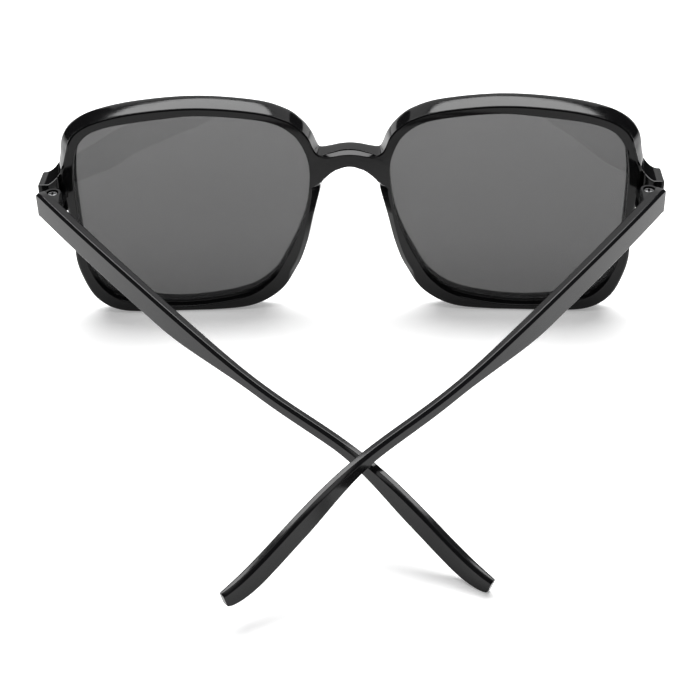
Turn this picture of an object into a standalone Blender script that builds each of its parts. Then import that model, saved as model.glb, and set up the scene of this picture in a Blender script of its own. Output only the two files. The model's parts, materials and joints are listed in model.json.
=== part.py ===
# Square sunglasses with a moulded front, tinted lenses and folding temples.
# Metres, +Z up. The front faces -Y and stands on the lower edges of its rims, with
# the temples half folded and crossed behind it. The wearer's left is at +X.
# The origin is the middle of the footprint, on the surface they stand on.

from math import cos, pi, radians, sin

import bmesh
import bpy
import numpy as np
from mathutils import Vector

# Overall sizes
TEMPLE_LENGTH = 0.1472
WRAP_RADIUS = 0.870
SEAT_GAP = 0.0003
CUT_OVERRUN = 0.003
MERGE_GAP = 0.00001

# Rims and bridge
OPENING_START = 0.0106
OPENING_WIDTH = 0.0553
OPENING_HEIGHT = 0.0499
RIM_NOSE_WIDTH = 0.0042
RIM_OUTER_WIDTH = 0.0036
RIM_BOTTOM_WIDTH = 0.0030
RIM_BROW_WIDTH = 0.0038
RIM_DEPTH = 0.0052
FRONT_EDGE_RADIUS = 0.0005
BACK_EDGE_BREAK = 0.0002
BROW_DRAFT = 0.0015
SIDE_DRAFT = 0.0009
BOTTOM_DRAFT = 0.0003
BACK_CHAMFER = 0.0009
FRONT_LIP = 0.0012
OUTLINE_STEP = 0.0022

# Nose facets, sloped off the back edges that rest on the nose
FACET_WIDTH = 0.0022
FACET_DEPTH = 0.0024
FACET_BOTTOM = 0.0080
FACET_TOP = 0.0372

# Lenses and their groove
LENS_THICKNESS = 0.0018
LENS_BULGE = 0.0010
GROOVE_DEPTH = 0.0010

# Endpieces, which carry the hinges
ENDPIECE_REACH = 0.0054
ENDPIECE_HEIGHT = 0.0080
ENDPIECE_RISE = 0.0008
ENDPIECE_SLOPE = 0.0014
ENDPIECE_FILLET = 0.0046
ENDPIECE_FOOT = 0.0015
ENDPIECE_CORNER = 0.0006

# Hinges
HINGE_OUTSET = 0.0013
HINGE_SETBACK = 0.0048
HINGE_TOP = 0.0371
HINGE_HEIGHT = 0.0058
KNUCKLE_RADIUS = 0.0021
TONGUE_THICKNESS = 0.0018
TONGUE_ROOT = 0.0008
SCREW_RADIUS = 0.0006
SCREW_HEAD_RADIUS = 0.0011
SCREW_HEAD_HEIGHT = 0.0005
SCREW_EDGE = 0.00015
BUTT_REACH = 0.0020
BUTT_GAP = 0.00045
EAR_LENGTH = 0.0046
EAR_DROP = 0.00015

# Temples
TEMPLE_OFFSET = 0.0022
BUTT_HEIGHT = 0.0060
SHAFT_HEIGHT = 0.0026
PADDLE_HEIGHT = 0.0048
BUTT_THICKNESS = 0.0027
BLADE_THICKNESS = 0.0022
SHAFT_THICKNESS = 0.0019
TIP_LENGTH = 0.0085
TIP_HEIGHT = 0.0030
TIP_THICKNESS = 0.0012
RIDGE_WIDTH = 0.0007
RIDGE_DEPTH = 0.0005
TEMPLE_EDGE = 0.0002
TEMPLE_STEP = 0.0032

# Sides of the round cuts and of the screws
BORE_SIDES = 32
SCREW_SIDES = 24

# How far each temple is folded from open. The crossed pair's hinge play lifts the
# right temple over the left one, whose tip is also set further down.
RIGHT_FOLD = radians(35.2)
LEFT_FOLD = radians(40.2)
HINGE_PLAY = radians(1.5)
TIP_SET = radians(3.6)

# Outer edge of the front, from the top of the bridge round the left rim.
# Bridge points are shares of half the bridge and of the front's height.
BRIDGE_TOP_SHARES = ((0, 0.7814), (0.35, 0.7795), (0.70, 0.769))
RIM_SHARES = (
    (0.008, 0.7616), (0.038, 0.7864), (0.051, 0.8321), (0.082, 0.8857), (0.136, 0.9344),
    (0.247, 0.9751), (0.469, 1), (0.691, 0.986), (0.849, 0.9522), (0.941, 0.9046),
    (0.986, 0.839), (0.996, 0.7586), (1, 0.564), (1, 0.3525), (0.981, 0.2165),
    (0.926, 0.0864), (0.826, 0.0159), (0.659, 0), (0.469, 0), (0.303, 0.0278),
    (0.189, 0.1023), (0.111, 0.2224), (0.070, 0.3346), (0.040, 0.4677), (0.014, 0.5749),
    (0.006, 0.6176),
)
BRIDGE_UNDER_SHARES = ((0.94, 0.6464), (0.74, 0.6687), (0.47, 0.6876), (0, 0.6975))

# Lens opening, as shares of its width from the nose side and of its height
OPENING_SHARES = (
    (0, 0.6944), (0.0145, 0.7985), (0.065, 0.8928), (0.174, 0.9592), (0.4275, 1),
    (0.609, 0.986), (0.862, 0.9394), (0.962, 0.867), (0.995, 0.7341), (1, 0.5297),
    (0.993, 0.3075), (0.962, 0.1686), (0.89, 0.0665), (0.77, 0.0198), (0.554, 0),
    (0.31, 0.0427), (0.183, 0.1329), (0.107, 0.2678), (0.05, 0.4037), (0.016, 0.5307),
)

# Front edge's rounding, and the outer wall behind it: share of the depth from the
# back, of the draft at the brow and sides, and of the tuck below
EDGE_SHARE = 0.3
WALL_SHARES = ((0.5, 0.3, 0), (0.1, 0.85, 0.85), (0, 1, 1))

# Nose facets: how narrow they run down the rims, and how soon they widen at the top
FACET_NARROW_SHARE = 0.4
FACET_WIDENING = 5

# Rings of a lens, from its edge to its middle
LENS_SHARES = (1, 0.95, 0.8, 0.55, 0.28)

# Endpiece: share of its reach, inset of its front as a share of the rim's depth,
# and how deep it runs, from the rim's back at 0 to the hinge's mitre at 1
ENDPIECE_SHARES = (
    (-0.30, 0.16, 0), (0, 0.12, 0), (0.15, 0.08, 0), (0.27, 0.06, 0), (0.49, 0.08, 1),
    (0.70, 0.12, 1), (0.92, 0.20, 1), (1, 0.32, 1),
)
ENDPIECE_BACK_SHARE = 0.06
ENDPIECE_FILLET_SHARE = 0.45
ENDPIECE_END_SHARES = (0.9, 1)

# Course of a temple: share of its length, degrees turned in and degrees of dip
COURSE_SHARES = (
    (0, 0, 9.3), (0.07, 0.9, 9.5), (0.17, 1.7, 9.5), (0.34, 2.9, 10.0),
    (0.45, 4.4, 10.8), (0.51, 5.4, 9.7), (0.57, 6.6, 7.3), (0.62, 7.6, 5.5),
    (0.66, 8.4, 5.6), (0.70, 8.9, 7.5), (0.76, 9.5, 13.7), (0.83, 10.3, 22.6),
    (0.90, 11.3, 27.0), (0.95, 12.5, 24.6), (1, 14.3, 15.0),
)
# Height of a temple along its length, between its butt, shaft and paddle
TAPER_SHARES = (0.33, 0.56)
FLARE_SHARES = (0.71, 0.87)
TIP_SET_SHARES = (0.68, 1)

# Places that follow from the sizes
front_height = RIM_BOTTOM_WIDTH + OPENING_HEIGHT + RIM_BROW_WIDTH
bridge_half = OPENING_START - RIM_NOSE_WIDTH
rim_width = RIM_NOSE_WIDTH + OPENING_WIDTH + RIM_OUTER_WIDTH
rim_side = bridge_half + rim_width
hinge_x = rim_side + HINGE_OUTSET
hinge_y = hinge_x ** 2 / (2 * WRAP_RADIUS) + HINGE_SETBACK
hinge_z = HINGE_TOP - HINGE_HEIGHT / 2
slot_half = TONGUE_THICKNESS / 2 + SEAT_GAP
bore_radius = SCREW_RADIUS + SEAT_GAP


def wrap(x):
    """How far the front has curved back at a distance x from its middle."""
    return x * x / (2 * WRAP_RADIUS)


# Collections and materials
def new_collection(name):
    collection = bpy.data.collections.new(name)
    bpy.context.scene.collection.children.link(collection)
    return collection


def new_material(name, color, roughness, metallic=0.0, alpha=1.0):
    material = bpy.data.materials.new(name)
    material.use_nodes = True
    shader = material.node_tree.nodes["Principled BSDF"]
    shader.inputs["Base Color"].default_value = (*color, 1)
    shader.inputs["Roughness"].default_value = roughness
    shader.inputs["Metallic"].default_value = metallic
    shader.inputs["Alpha"].default_value = alpha
    material.diffuse_color = (*color, alpha)
    return material


def new_object(name, bm, collection, material=None, parent=None):
    """Turn a closed bmesh into an object with its faces pointing out."""
    bmesh.ops.recalc_face_normals(bm, faces=bm.faces)
    mesh = bpy.data.meshes.new(name)
    bm.to_mesh(mesh)
    bm.free()
    mesh.shade_smooth()
    mesh.set_sharp_from_angle(angle=radians(30))
    thing = bpy.data.objects.new(name, mesh)
    collection.objects.link(thing)
    if material:
        mesh.materials.append(material)
    thing.parent = parent
    return thing


def new_empty(name, location, collection, parent=None):
    empty = bpy.data.objects.new(name, None)
    empty.location = location
    empty.parent = parent
    collection.objects.link(empty)
    return empty


def combine(target, tool, operation):
    """Join a helper solid to the target, or cut it away."""
    tool.hide_render = True
    tool.display_type = "WIRE"
    step = target.modifiers.new(tool.name, "BOOLEAN")
    step.operation = operation
    step.solver = "EXACT"
    step.object = tool


# Outlines, as arrays of points in a plane
def smooth_outline(points, step):
    """Closed curve through the points, resampled at even steps."""
    before = np.roll(points, 1, axis=0)
    after = np.roll(points, -1, axis=0)
    beyond = np.roll(points, -2, axis=0)
    fine = []
    for t in np.linspace(0, 1, 16, endpoint=False):
        curve = (2 * points + (after - before) * t
                 + (2 * before - 5 * points + 4 * after - beyond) * t ** 2
                 + (3 * points - before - 3 * after + beyond) * t ** 3) / 2
        fine.append(curve)
    fine = np.stack(fine, axis=1).reshape(-1, 2)
    closed = np.vstack([fine, fine[:1]])
    lengths = np.linalg.norm(np.diff(closed, axis=0), axis=1)
    along = np.concatenate([[0], np.cumsum(lengths)])
    count = 2 * round(along[-1] / step / 2)
    marks = np.linspace(0, along[-1], count, endpoint=False)
    return np.column_stack([np.interp(marks, along, closed[:, i]) for i in (0, 1)])


def outward(outline):
    """Unit normals of a closed outline, pointing away from what it encloses."""
    tangent = np.roll(outline, -1, axis=0) - np.roll(outline, 1, axis=0)
    tangent /= np.linalg.norm(tangent, axis=1)[:, None]
    normal = np.column_stack([tangent[:, 1], -tangent[:, 0]])
    nxt = np.roll(outline, -1, axis=0)
    area = np.sum(outline[:, 0] * nxt[:, 1] - nxt[:, 0] * outline[:, 1])
    return normal * np.sign(area)


def arc(radius, start, end, steps):
    """Points along an arc about the origin."""
    return [(radius * cos(a), radius * sin(a)) for a in np.linspace(start, end, steps)]


def front_outline():
    top = [(x * bridge_half, z * front_height) for x, z in BRIDGE_TOP_SHARES]
    rim = [(bridge_half + x * rim_width, z * front_height) for x, z in RIM_SHARES]
    under = [(x * bridge_half, z * front_height) for x, z in BRIDGE_UNDER_SHARES]
    left = top + rim + under
    right = [(-x, z) for x, z in reversed(left[1:-1])]
    outline = smooth_outline(np.array(left + right), OUTLINE_STEP)
    outline[:, 1] = np.clip(outline[:, 1], 0, front_height)
    return outline


def opening_outline(side):
    points = [(side * (OPENING_START + x * OPENING_WIDTH),
               RIM_BOTTOM_WIDTH + z * OPENING_HEIGHT) for x, z in OPENING_SHARES]
    return smooth_outline(np.array(points), OUTLINE_STEP)


# Bodies
def add_ring(bm, outline, depth):
    """Ring of points on an outline, at one depth from the back or at one each."""
    depths = np.broadcast_to(depth, len(outline))
    return [bm.verts.new((x, -y, z)) for (x, z), y in zip(outline, depths)]


def add_band(bm, ring_a, ring_b):
    """Quads between two rings with the same number of points."""
    for i in range(len(ring_a)):
        j = (i + 1) % len(ring_a)
        bm.faces.new((ring_a[i], ring_a[j], ring_b[j], ring_b[i]))


def add_prism(bm, outline, bottom, top):
    """Upright solid on a plan outline."""
    base = bm.faces.new([bm.verts.new((x, y, bottom)) for x, y in outline])
    grown = bmesh.ops.extrude_face_region(bm, geom=[base])["geom"]
    risen = [v for v in grown if isinstance(v, bmesh.types.BMVert)]
    bmesh.ops.translate(bm, verts=risen, vec=(0, 0, top - bottom))


def add_loft(bm, sections):
    """Solid through a row of sections, each a list of 3-D points."""
    rings = [[bm.verts.new(point) for point in section] for section in sections]
    for ring_a, ring_b in zip(rings, rings[1:]):
        add_band(bm, ring_a, ring_b)
    for end in (rings[0], rings[-1]):
        bm.faces.new(end)


def cylinder(name, radius, bottom, top, collection, parent):
    bm = bmesh.new()
    bmesh.ops.create_cone(bm, cap_ends=True, segments=BORE_SIDES, radius1=radius,
                          radius2=radius, depth=top - bottom)
    bmesh.ops.translate(bm, verts=bm.verts, vec=(0, 0, (top + bottom) / 2))
    return new_object(name, bm, collection, parent=parent)


# Front: outer wall, two grooved openings, and caps between them
def build_front(parts, cutters, material, root):
    outer = front_outline()
    normal = outward(outer)
    across = normal[:, 0] ** 2
    rise = np.clip(normal[:, 1], 0, 1) ** 2
    fall = np.clip(-normal[:, 1], 0, 1) ** 2
    draft = SIDE_DRAFT * across + BROW_DRAFT * rise
    tuck = BOTTOM_DRAFT * fall

    # Towards the nose, a facet slopes off the back edge, widest at its upper end
    facing = np.clip(-normal[:, 0] * np.sign(outer[:, 0]), 0, 1)
    place = np.clip((outer[:, 1] - FACET_BOTTOM) / (FACET_TOP - FACET_BOTTOM), 0, 1)
    widening = FACET_NARROW_SHARE + (1 - FACET_NARROW_SHARE) * place ** FACET_WIDENING
    facet = facing * widening * ((place > 0) & (place < 1))

    # Each level of the wall: its depth from the back, and its inset. The rims' lower
    # edges stay level over the front half, which they stand on.
    edge = EDGE_SHARE * FRONT_EDGE_RADIUS
    level = np.zeros(len(outer))
    levels = [(RIM_DEPTH, level + FRONT_EDGE_RADIUS), (RIM_DEPTH - edge, level + edge),
              (RIM_DEPTH - FRONT_EDGE_RADIUS, level)]
    levels += [(deep * RIM_DEPTH, drafted * draft + tucked * tuck)
               for deep, drafted, tucked in WALL_SHARES]
    levels[-2] = (np.maximum(levels[-2][0], FACET_DEPTH * facet), levels[-2][1])
    levels[-1] = (0, draft + tuck + BACK_EDGE_BREAK * across + FACET_WIDTH * facet)
    bm = bmesh.new()
    walls = [add_ring(bm, outer - normal * inset[:, None], depth)
             for depth, inset in levels]
    for ring_a, ring_b in zip(walls, walls[1:]):
        add_band(bm, ring_a, ring_b)
    front_rings = [walls[0]]
    back_rings = [walls[-1]]

    groove_front = RIM_DEPTH - FRONT_LIP
    groove_back = groove_front - LENS_THICKNESS - 2 * SEAT_GAP
    chamfer_start = groove_back - SEAT_GAP - BACK_EDGE_BREAK
    steps = (
        (RIM_DEPTH, FRONT_EDGE_RADIUS / 2), (RIM_DEPTH - FRONT_EDGE_RADIUS / 2, 0),
        (groove_front, 0), (groove_front, GROOVE_DEPTH),
        (groove_back, GROOVE_DEPTH), (groove_back, 0),
        (chamfer_start, 0), (0, BACK_CHAMFER),
    )
    for side in (1, -1):
        opening = opening_outline(side)
        away = outward(opening)
        rings = [add_ring(bm, opening + away * grow, depth) for depth, grow in steps]
        for ring_a, ring_b in zip(rings, rings[1:]):
            add_band(bm, ring_a, ring_b)
        front_rings.append(rings[0])
        back_rings.append(rings[-1])

    for rings in (front_rings, back_rings):
        edges = []
        for ring in rings:
            edges += [bm.edges.get((ring[i - 1], ring[i])) for i in range(len(ring))]
        bmesh.ops.triangle_fill(bm, edges=edges, use_beauty=True, normal=(0, 1, 0))

    for vert in bm.verts:
        vert.co.y += wrap(vert.co.x)
    front = new_object("frame_front", bm, parts, material, root)

    for side, name in ((1, "left"), (-1, "right")):
        combine(front, build_endpiece(name, side, cutters, root), "UNION")
        combine(front, build_tongue(name, side, cutters, root), "UNION")
        bore = cylinder(f"tongue_bore_{name}", bore_radius, hinge_z - HINGE_HEIGHT,
                        hinge_z + HINGE_HEIGHT, cutters, root)
        bore.location = (side * hinge_x, hinge_y, 0)
        combine(front, bore, "DIFFERENCE")
    return front


def build_endpiece(name, side, cutters, root):
    """Block from the rim's side to the mitre that the temple's butt closes on."""
    top = HINGE_TOP + ENDPIECE_RISE
    low = top - ENDPIECE_HEIGHT
    mitre = hinge_y - BUTT_REACH - BUTT_GAP
    end_start, end_share = ENDPIECE_END_SHARES
    bm = bmesh.new()
    sections = []
    for share, inset, deep in ENDPIECE_SHARES:
        x = rim_side + share * ENDPIECE_REACH
        slope = np.clip(1 - share / ENDPIECE_FILLET_SHARE, 0, 1) ** 2
        past = np.clip((share - end_start) / (end_share - end_start), 0, 1)
        edge = ENDPIECE_CORNER * past
        front = wrap(x) - RIM_DEPTH * (1 - inset)
        rim_back = wrap(x) - RIM_DEPTH * ENDPIECE_BACK_SHARE
        back = rim_back + (mitre - edge - rim_back) * deep
        high = top + ENDPIECE_FILLET * slope - edge
        foot = low - ENDPIECE_FOOT * slope + edge
        rise = ENDPIECE_SLOPE * (1 - slope)
        c = ENDPIECE_CORNER
        outline = (
            (front + c, high + rise), (back - c / 2, high), (back, high - c / 2),
            (back, foot + c / 2), (back - c / 2, foot), (front + c, foot),
            (front, foot + c), (front, high + rise - c),
        )
        sections.append([(side * x, y, z) for y, z in outline])
    add_loft(bm, sections)
    return new_object(f"endpiece_{name}", bm, cutters, parent=root)


def build_tongue(name, side, cutters, root):
    """Middle knuckle of the hinge, standing back from the endpiece."""
    root_y = wrap(hinge_x) - TONGUE_ROOT - hinge_y
    plan = arc(KNUCKLE_RADIUS, 0, pi, 17)
    plan += [(-KNUCKLE_RADIUS, root_y), (KNUCKLE_RADIUS, root_y)]
    bm = bmesh.new()
    add_prism(bm, plan, hinge_z - TONGUE_THICKNESS / 2, hinge_z + TONGUE_THICKNESS / 2)
    tongue = new_object(f"tongue_{name}", bm, cutters, parent=root)
    tongue.location = (side * hinge_x, hinge_y, 0)
    return tongue


# Lenses: discs on the groove's outline, bulging forward
def build_lens(name, side, parts, material, root):
    outline = opening_outline(side)
    edge = outline + outward(outline) * (GROOVE_DEPTH - SEAT_GAP)
    middle = edge.mean(axis=0)
    front_depth = RIM_DEPTH - FRONT_LIP - SEAT_GAP
    bm = bmesh.new()
    faces = []
    for depth in (front_depth, front_depth - LENS_THICKNESS):
        rings = []
        for share in LENS_SHARES:
            bulge = LENS_BULGE * (1 - share ** 2)
            rings.append(add_ring(bm, middle + (edge - middle) * share, depth + bulge))
        for ring_a, ring_b in zip(rings, rings[1:]):
            add_band(bm, ring_a, ring_b)
        bm.faces.new(rings[-1])
        faces.append(rings[0])
    add_band(bm, *faces)
    for vert in bm.verts:
        vert.co.y += wrap(vert.co.x)
    return new_object(name, bm, parts, material, root)


# Temples, each drawn open about its hinge: +Y runs back, side * X runs out
def smooth_share(value, shares):
    start, end = shares
    t = np.clip((value - start) / (end - start), 0, 1)
    return t * t * (3 - 2 * t)


def temple_course(side, count):
    """Top line of a temple with its outward and upward directions."""
    share = np.linspace(0, 1, count)
    knots = np.array(COURSE_SHARES)
    turn = np.radians(np.interp(share, knots[:, 0], knots[:, 1]))
    dip = np.radians(np.interp(share, knots[:, 0], knots[:, 2])) + side * HINGE_PLAY / 2
    if side > 0:
        start, end = TIP_SET_SHARES
        dip += TIP_SET * np.clip((share - start) / (end - start), 0, 1)
    ahead = np.column_stack([-np.sin(turn) * np.cos(dip),
                             np.cos(turn) * np.cos(dip), -np.sin(dip)])
    outside = np.column_stack([np.cos(turn), np.sin(turn), 0 * turn])
    upward = np.cross(outside, ahead)
    middles = (ahead[1:] + ahead[:-1]) / 2
    start = np.array((TEMPLE_OFFSET, 0, HINGE_HEIGHT / 2 + EAR_DROP))
    stride = TEMPLE_LENGTH / (count - 1)
    line = start + np.vstack([np.zeros(3), np.cumsum(middles * stride, axis=0)])
    return share, line, outside, upward


def temple_section(point, outside, upward, height, thickness):
    """Rounded blade with a bevel along its outer top edge."""
    half = thickness / 2
    e = TEMPLE_EDGE
    corners = (
        (e - half, 0), (half - RIDGE_WIDTH, 0), (half, -RIDGE_DEPTH),
        (half, e - height), (half - e, -height), (e - half, -height),
        (-half, e - height), (-half, -e),
    )
    return [point + outside * o + upward * u for o, u in corners]


def build_temple(name, side, parts, cutters, material, hinge):
    count = round(TEMPLE_LENGTH / TEMPLE_STEP)
    share, line, outside, upward = temple_course(side, count)
    taper = smooth_share(share, TAPER_SHARES)
    flare = smooth_share(share, FLARE_SHARES)
    height = BUTT_HEIGHT + (SHAFT_HEIGHT - BUTT_HEIGHT) * taper
    height += (PADDLE_HEIGHT - SHAFT_HEIGHT) * flare
    thickness = BUTT_THICKNESS + (BLADE_THICKNESS - BUTT_THICKNESS) * smooth_share(
        share, (0, TAPER_SHARES[0]))
    thickness += (SHAFT_THICKNESS - BLADE_THICKNESS) * taper

    # The tip's lower edge rounds up to its top, and its sides draw in
    along = np.clip((share - 1) * TEMPLE_LENGTH / TIP_LENGTH + 1, 0, 1)
    rounding = np.sqrt(1 - along ** 2)
    height = TIP_HEIGHT + (height - TIP_HEIGHT) * rounding
    thickness = TIP_THICKNESS + (thickness - TIP_THICKNESS) * rounding

    sections = [temple_section(*station) for station in
                zip(line, outside, upward, height, thickness)]
    butt = [(x, -BUTT_REACH, z) for x, y, z in sections[0]]
    bm = bmesh.new()
    add_loft(bm, [butt] + sections)
    for vert in bm.verts:
        vert.co.x *= side
    temple = new_object(name, bm, parts, material, hinge)

    # Ears above and below the tongue, open towards the front and the inside
    ear = [(TEMPLE_OFFSET, EAR_LENGTH), (TEMPLE_OFFSET, KNUCKLE_RADIUS / 2 - BUTT_REACH)]
    ear += arc(KNUCKLE_RADIUS, -pi / 4, -pi * 4 / 3, 19)
    ear += [(TEMPLE_OFFSET - BUTT_THICKNESS / 2, EAR_LENGTH)]
    clear = KNUCKLE_RADIUS + SEAT_GAP
    reach = clear + CUT_OVERRUN
    slot = arc(clear, 0, pi / 2, 9) + [(-reach, clear), (-reach, -reach), (clear, -reach)]
    for kind, plan, half, operation in (("ears", ear, HINGE_HEIGHT / 2, "UNION"),
                                        ("slot", slot, slot_half, "DIFFERENCE")):
        bm = bmesh.new()
        add_prism(bm, [(side * x, y) for x, y in plan], -half, half)
        tool = new_object(f"{kind}_{name}", bm, cutters, parent=hinge)
        combine(temple, tool, operation)
    bore = cylinder(f"screw_bore_{name}", bore_radius, -HINGE_HEIGHT, HINGE_HEIGHT,
                    cutters, hinge)
    combine(temple, bore, "DIFFERENCE")
    seat = HINGE_HEIGHT / 2 - SCREW_HEAD_HEIGHT - SEAT_GAP
    recess = cylinder(f"head_recess_{name}", SCREW_HEAD_RADIUS + SEAT_GAP, seat,
                      HINGE_HEIGHT / 2 + CUT_OVERRUN, cutters, hinge)
    combine(temple, recess, "DIFFERENCE")
    return temple


# Hinge screws, turned from a profile
def build_screw(name, parts, material, hinge):
    top = HINGE_HEIGHT / 2
    under = top - SCREW_HEAD_HEIGHT
    end = SEAT_GAP - top
    profile = (
        (0, top), (SCREW_HEAD_RADIUS - SCREW_EDGE, top),
        (SCREW_HEAD_RADIUS, top - SCREW_EDGE), (SCREW_HEAD_RADIUS, under),
        (SCREW_RADIUS, under), (SCREW_RADIUS, end + SCREW_EDGE),
        (SCREW_RADIUS - SCREW_EDGE, end), (0, end),
    )
    mesh = bpy.data.meshes.new(name)
    edges = [(i, i + 1) for i in range(len(profile) - 1)]
    mesh.from_pydata([(x, 0, z) for x, z in profile], edges, [])
    mesh.materials.append(material)
    screw = bpy.data.objects.new(name, mesh)
    parts.objects.link(screw)
    screw.parent = hinge
    turn = screw.modifiers.new("turn", "SCREW")
    turn.steps = SCREW_SIDES
    turn.render_steps = SCREW_SIDES
    turn.use_merge_vertices = True
    turn.merge_threshold = MERGE_GAP
    return screw


def settle(root, pieces):
    """Move the assembly so that the middle of its footprint is the origin."""
    bpy.context.view_layer.update()
    graph = bpy.context.evaluated_depsgraph_get()
    corners = []
    for piece in pieces:
        shown = piece.evaluated_get(graph)
        corners += [shown.matrix_world @ v.co for v in shown.data.vertices]
    low = Vector([min(c[i] for c in corners) for i in range(3)])
    high = Vector([max(c[i] for c in corners) for i in range(3)])
    middle = (low + high) / 2
    root.location = (-middle.x, -middle.y, -low.z)
    bpy.context.view_layer.update()
    print("size in millimetres", [round(n * 1000, 2) for n in high - low])
    print("moved by", [round(n * 1000, 3) for n in root.location])


def main():
    for thing in list(bpy.data.objects):
        bpy.data.objects.remove(thing, do_unlink=True)
    parts = new_collection("square_sunglasses")
    cutters = new_collection("cutters")
    black = new_material("black_acetate", (0.012, 0.012, 0.013), 0.18)
    temple_black = new_material("temple_acetate", (0.014, 0.014, 0.015), 0.22)
    tint = new_material("grey_lens", (0.10, 0.10, 0.105), 0.05, alpha=0.75)
    steel = new_material("screw_steel", (0.62, 0.62, 0.63), 0.3, metallic=1.0)

    root = new_empty("sunglasses", (0, 0, 0), parts)
    pieces = [build_front(parts, cutters, black, root)]
    for side, name, fold in ((1, "left", LEFT_FOLD), (-1, "right", RIGHT_FOLD)):
        pieces.append(build_lens(f"lens_{name}", side, parts, tint, root))
        hinge = new_empty(f"hinge_{name}", (side * hinge_x, hinge_y, hinge_z), parts, root)
        hinge.rotation_euler.z = side * fold
        pieces.append(build_temple(f"temple_{name}", side, parts, cutters,
                                   temple_black, hinge))
        pieces.append(build_screw(f"hinge_screw_{name}", parts, steel, hinge))
    settle(root, pieces)


main()
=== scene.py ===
import json
import bmesh
import bpy
import numpy as np
from mathutils import Matrix


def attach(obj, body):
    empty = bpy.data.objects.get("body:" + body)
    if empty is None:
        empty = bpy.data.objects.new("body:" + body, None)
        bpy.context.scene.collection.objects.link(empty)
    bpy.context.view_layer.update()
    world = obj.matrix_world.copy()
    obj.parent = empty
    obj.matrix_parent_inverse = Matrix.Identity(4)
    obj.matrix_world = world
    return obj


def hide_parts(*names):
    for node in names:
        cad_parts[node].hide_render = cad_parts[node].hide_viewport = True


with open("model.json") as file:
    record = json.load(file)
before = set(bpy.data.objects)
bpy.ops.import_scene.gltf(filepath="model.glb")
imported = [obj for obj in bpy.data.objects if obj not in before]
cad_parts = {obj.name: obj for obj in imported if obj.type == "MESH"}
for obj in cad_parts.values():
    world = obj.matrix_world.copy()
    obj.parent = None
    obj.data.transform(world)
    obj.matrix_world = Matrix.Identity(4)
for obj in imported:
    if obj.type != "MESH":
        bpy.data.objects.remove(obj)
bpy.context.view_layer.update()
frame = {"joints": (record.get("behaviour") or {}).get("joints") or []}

# Square sunglasses, seen from behind and above, half folded on a white floor. Metres.
# The front faces -Y, and the wearer's left is at +X, on the picture's left.
hingePlace = {joint["name"].split("_")[0]: np.array(joint["pos_m"]) for joint in frame["joints"]}
sides = (("left", 1), ("right", -1))

frontShape = {
    "openingStart": 0.0106, "openingWidth": 0.0553, "openingHeight": 0.0499,
    "rimNose": 0.0042, "rimOuter": 0.0039, "rimBottom": 0.0030, "rimBrow": 0.0038,
    "depth": 0.0052, "wrapRadius": 0.870, "frontEdge": 0.0005, "backEdge": 0.00032, "sideEdge": 0.00025,
    "browDraft": 0.0015, "sideDraft": 0.0016, "noseDraft": 0.0009, "bottomTuck": 0.0003, "draftPower": 1.12,
    "lensChamfer": 0.00085, "growth": 0.0009, "growthBottom": 0.00065,
    "lip": 0.0012, "lensThickness": 0.0018, "grooveDepth": 0.0008,
    "seatGap": 0.0003, "pointStep": 0.00045, "centreSteps": 8,
    "openingSteps": 72, "outlineSteps": 40, "wallSteps": 8, "cornerSteps": 4,
    "spokeShares": (0.85, 0.15), "tuckStart": 0.5, "innerStep": 0.001,
    "backRadius": 0.00015, "wallRadius": 0.00009,
    "openingRadii": (0.00025, 0.00005, 0.00005, 0.00005, 0.00008, 0.00025, 0.0002),
}
facetShape = {
    "top": 0.0356, "bottom": 0.0080, "width": 0.0022, "depth": 0.0024,
    "narrowShare": 0.4, "widening": 5, "topStep": 0.0014, "level": 0.0340,
    "footSteepness": 12, "turnSteepness": 1.5, "sideways": 0.3,
}
bridgeShape = {
    "crescentHalf": 0.0064, "crescentSlope": 0.5, "chamferDeep": 0.00125, "chamferDrop": 0.0003,
    "step": 0.0003, "stepEdgeShare": 0.2, "draftReach": (0.0075, 0.0120), "draftShare": 0.3,
}

# Points of the front's outer edge, from the top of the bridge round the left rim
bridgeTopShares = ((0, 0.7766), (0.383, 0.773), (0.73, 0.7646))
rimShares = (
    (0.010, 0.7600), (0.022, 0.7770), (0.043, 0.8321), (0.079, 0.8857), (0.136, 0.9344),
    (0.247, 0.9751), (0.469, 1), (0.691, 0.986), (0.849, 0.9522), (0.941, 0.9046),
    (0.989, 0.839), (1.005, 0.7586), (1.012, 0.709), (1.011, 0.564), (1.003, 0.4586),
    (0.997, 0.3525), (0.981, 0.2165),
    (0.929, 0.083), (0.829, 0.0125), (0.659, 0), (0.469, 0), (0.300, 0.020),
    (0.180, 0.098), (0.103, 0.2224), (0.063, 0.3346), (0.034, 0.4677), (0.010, 0.5749),
    (0.0065, 0.603),
)
bridgeUnderShares = ((0.94, 0.6355), (0.74, 0.660), (0.56, 0.675), (0.375, 0.686), (0, 0.6931))
# Height on the rim's outer side, and the share of the side draft there
sideDraftShares = ((0.004, 0.5), (0.016, 0.55), (0.024, 1), (0.030, 1), (0.036, 0.6), (0.039, 0.6),
                   (0.0405, 0.8), (0.0418, 1.1), (0.0437, 1.28), (0.046, 1.55))
openingShares = (
    (0, 0.6944), (0.0145, 0.7985), (0.065, 0.8928), (0.174, 0.9550), (0.4275, 0.989),
    (0.609, 0.979), (0.862, 0.9394), (0.962, 0.867), (0.995, 0.7341), (1, 0.5297),
    (0.993, 0.3075), (0.962, 0.1686), (0.89, 0.0665), (0.77, 0.0198), (0.554, 0),
    (0.31, 0.0427), (0.183, 0.1329), (0.107, 0.2678), (0.05, 0.4037), (0.016, 0.5307),
)

frontHeight = frontShape["rimBottom"] + frontShape["openingHeight"] + frontShape["rimBrow"]
bridgeHalf = frontShape["openingStart"] - frontShape["rimNose"]
rimWidth = frontShape["rimNose"] + frontShape["openingWidth"] + frontShape["rimOuter"]
rimSide = bridgeHalf + rimWidth


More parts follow.
